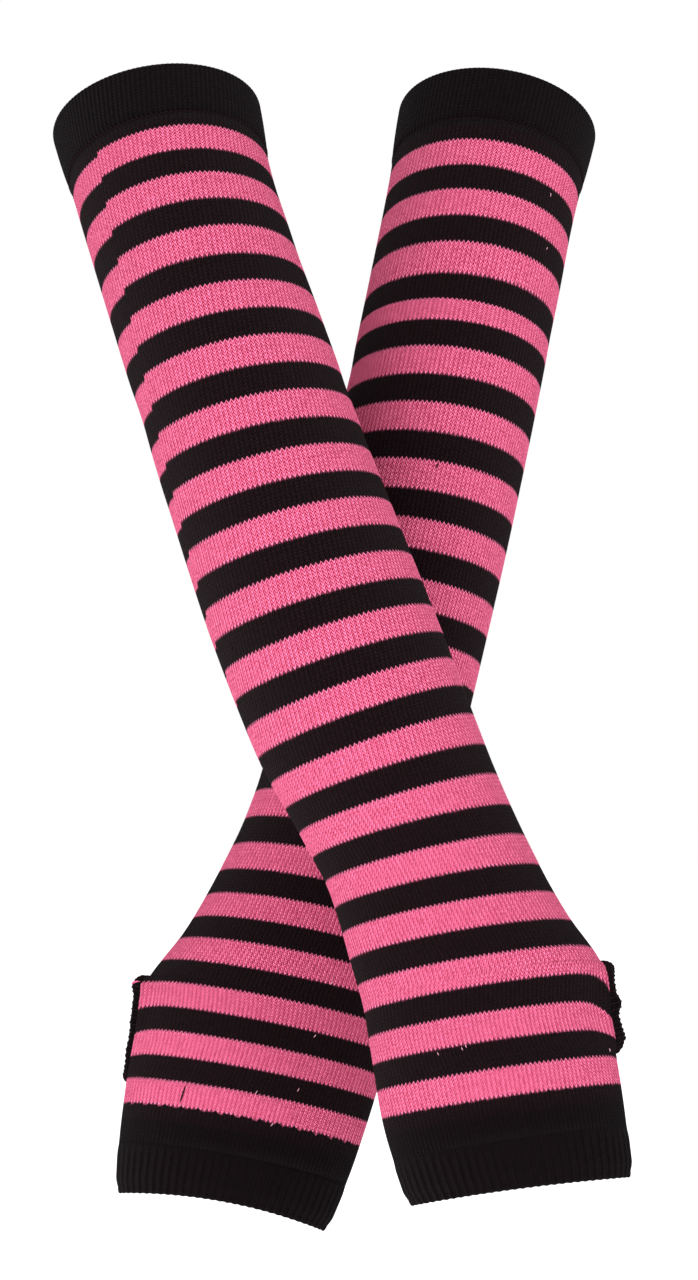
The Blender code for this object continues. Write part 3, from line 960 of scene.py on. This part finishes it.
LOOSE_YARNS = (
    LooseYarn("pulled_stitch", "back", -133.0, 0.1424, 6.2, 1.0, -0.1, 0.3, False),
    LooseYarn("dark_fibre", "back", 90.0, 0.2644, 1.9, 0.8, 0.0, 0.26, False),
    LooseYarn("pale_fibre_1", "back", -90.9, 0.3318, 1.4, 0.6, FIBRE_LIFT, FIBRE_RADIUS, True),
    LooseYarn("pale_fibre_2", "back", -107.6, 0.3330, 1.3, 0.5, FIBRE_LIFT, FIBRE_RADIUS, True),
    LooseYarn("pale_fibre_3", "back", -124.9, 0.3300, 1.3, 0.4, FIBRE_LIFT, FIBRE_RADIUS, True),
    LooseYarn("pale_fibre_4", "back", -128.3, 0.2640, 1.0, 0.3, FIBRE_LIFT, FIBRE_RADIUS, True),
    LooseYarn("pale_fibre_5", "back", -137.3, 0.3030, 1.3, 0.5, FIBRE_LIFT, FIBRE_RADIUS, True),
    LooseYarn("pale_fibre_6", "back", 19.5, 0.4350, 0.6, 0.8, FIBRE_LIFT, FIBRE_RADIUS, True),
    LooseYarn("pale_fibre_7", "front", -100.6, 0.3025, 1.0, 0.3, FIBRE_LIFT, FIBRE_RADIUS, True),
    LooseYarn("pale_fibre_8", "front", -100.1, 0.2955, 1.0, 0.3, FIBRE_LIFT, FIBRE_RADIUS, True),
    LooseYarn("pale_fibre_9", "front", -100.8, 0.3425, 1.0, 0.3, FIBRE_LIFT, FIBRE_RADIUS, True),
    LooseYarn("pale_fibre_10", "front", -106.2, 0.0420, 1.0, 0.2, FIBRE_LIFT, FIBRE_RADIUS, True),
    LooseYarn("pale_fibre_11", "back", 200.6, 0.3710, 1.6, -0.5, FIBRE_LIFT, FIBRE_RADIUS, True),
    LooseYarn("pale_fibre_12", "back", 180.1, 0.3870, 1.4, 0.4, FIBRE_LIFT, FIBRE_RADIUS, True),
)

# The end of yarn turns from one angle to another, in degrees, round the back sleeve's slit and
# round the band of its edge.
YARN_END_TURNS = (38.0, 34.0)
YARN_END_ROUNDS = (80.0, 190.0)
YARN_END_RADIUS = 0.35
YARN_END_PROUD = 0.6

pale_yarn = twisted_thread("pale_fibre", PALE_SHADED, PALE_LIT)
pink_yarn = twisted_thread("pink_yarn_end", PINK_SHADED, PINK_LIT)
of_name = {sleeve.name: sleeve for sleeve in SLEEVES}
for loose in LOOSE_YARNS:
    sleeve = of_name[loose.sleeve]
    part = np.linspace(-0.5, 0.5, LOOSE_STEPS + 1)
    at = loose.height + loose.rise * part
    shares = loose.share + loose.along * part / ring_at(sleeve, loose.height)[2][-1]
    lift = loose.lift + LOOSE_BOW * np.cos(math.pi * part)
    path = on_sleeve(sleeve, at, shares, lift)
    guide = on_sleeve(sleeve, at, shares, lift + 1) - path
    fibre = thread(f"{loose.sleeve}_{loose.name}", path, guide, loose.radius, closed=False)
    fibre.data.materials.append(pale_yarn if loose.pale else sewing_thread)
    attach(fibre, "root")

turns = np.radians(np.linspace(*YARN_END_TURNS, LOOSE_STEPS + 1))
rounds = np.radians(np.linspace(*YARN_END_ROUNDS, LOOSE_STEPS + 1))
proud = YARN_END_RADIUS * YARN_END_PROUD
path = edge_points(of_name["back"], turns, rounds, proud)
guide = edge_points(of_name["back"], turns, rounds, proud + 1) - path
yarn_end = thread("back_yarn_end", path, guide, YARN_END_RADIUS, closed=False)
yarn_end.data.materials.append(pink_yarn)
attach(yarn_end, "root")


# The floor and the light: a plain white studio, with a broad soft light high on the left, a
# nearer one on the right, a small weak one low by the hands and white surroundings.
WHITE = (1, 1, 1, 1)
FLOOR_WHITE = (0.9, 0.9, 0.9, 1)
FLOOR_ROUGHNESS = 1.0
FLOOR_GLOW = 0.5
FLOOR_DEPTH = -0.75
FLOOR_SIZE = 12.0

floor_shape = bmesh.new()
bmesh.ops.create_grid(floor_shape, x_segments=1, y_segments=1, size=FLOOR_SIZE / 2)
bmesh.ops.translate(floor_shape, verts=floor_shape.verts, vec=(0, 0, FLOOR_DEPTH))
floor_mesh = bpy.data.meshes.new("floor")
floor_shape.to_mesh(floor_mesh)
floor_shape.free()
floor = bpy.data.objects.new("floor", floor_mesh)
bpy.context.scene.collection.objects.link(floor)
floor_material = bpy.data.materials.new("white_floor")
floor_material.use_nodes = True
floor_shader = floor_material.node_tree.nodes["Principled BSDF"]
floor_shader.inputs["Base Color"].default_value = FLOOR_WHITE
floor_shader.inputs["Roughness"].default_value = FLOOR_ROUGHNESS
floor_shader.inputs["Emission Color"].default_value = WHITE
floor_shader.inputs["Emission Strength"].default_value = FLOOR_GLOW
floor_mesh.materials.append(floor_material)

# The surroundings look pure white and light the cloth with a part of that.
SURROUNDINGS = 0.84
world = bpy.data.worlds.new("white_surroundings")
bpy.context.scene.world = world
world.use_nodes = True
background = world.node_tree.nodes["Background"]
seen = add_node(world.node_tree, "ShaderNodeLightPath").outputs["Is Camera Ray"]
strength = maths(world.node_tree, "MULTIPLY_ADD", seen, 1.0 - SURROUNDINGS, SURROUNDINGS)
world.node_tree.links.new(strength, background.inputs["Strength"])
background.inputs["Color"].default_value = WHITE
bpy.context.scene.view_settings.view_transform = "Standard"

# The lights, all aimed at one point, with their sizes across and their powers in watts.
Light = namedtuple("Light", "name place size power")
LIT_POINT = (0, 0, 0.04)

LIGHTS = (
    Light("key_light", (-0.9, -1.5, 1.1), 1.0, 14),
    Light("fill_light", (1.3, -1.0, 0.4), 1.2, 16),
    Light("low_light", (-0.35, -0.5, -0.25), 0.5, 3.2),
)

for light in LIGHTS:
    light_data = bpy.data.lights.new(light.name, "AREA")
    light_data.size = light.size
    light_data.energy = light.power
    lamp = bpy.data.objects.new(light.name, light_data)
    lamp.location = light.place
    target = np.array(LIT_POINT) - np.array(light.place)
    lowered = math.acos(-target[2] / np.linalg.norm(target))
    lamp.rotation_euler = (lowered, 0, math.atan2(-target[0], target[1]))
    bpy.context.scene.collection.objects.link(lamp)
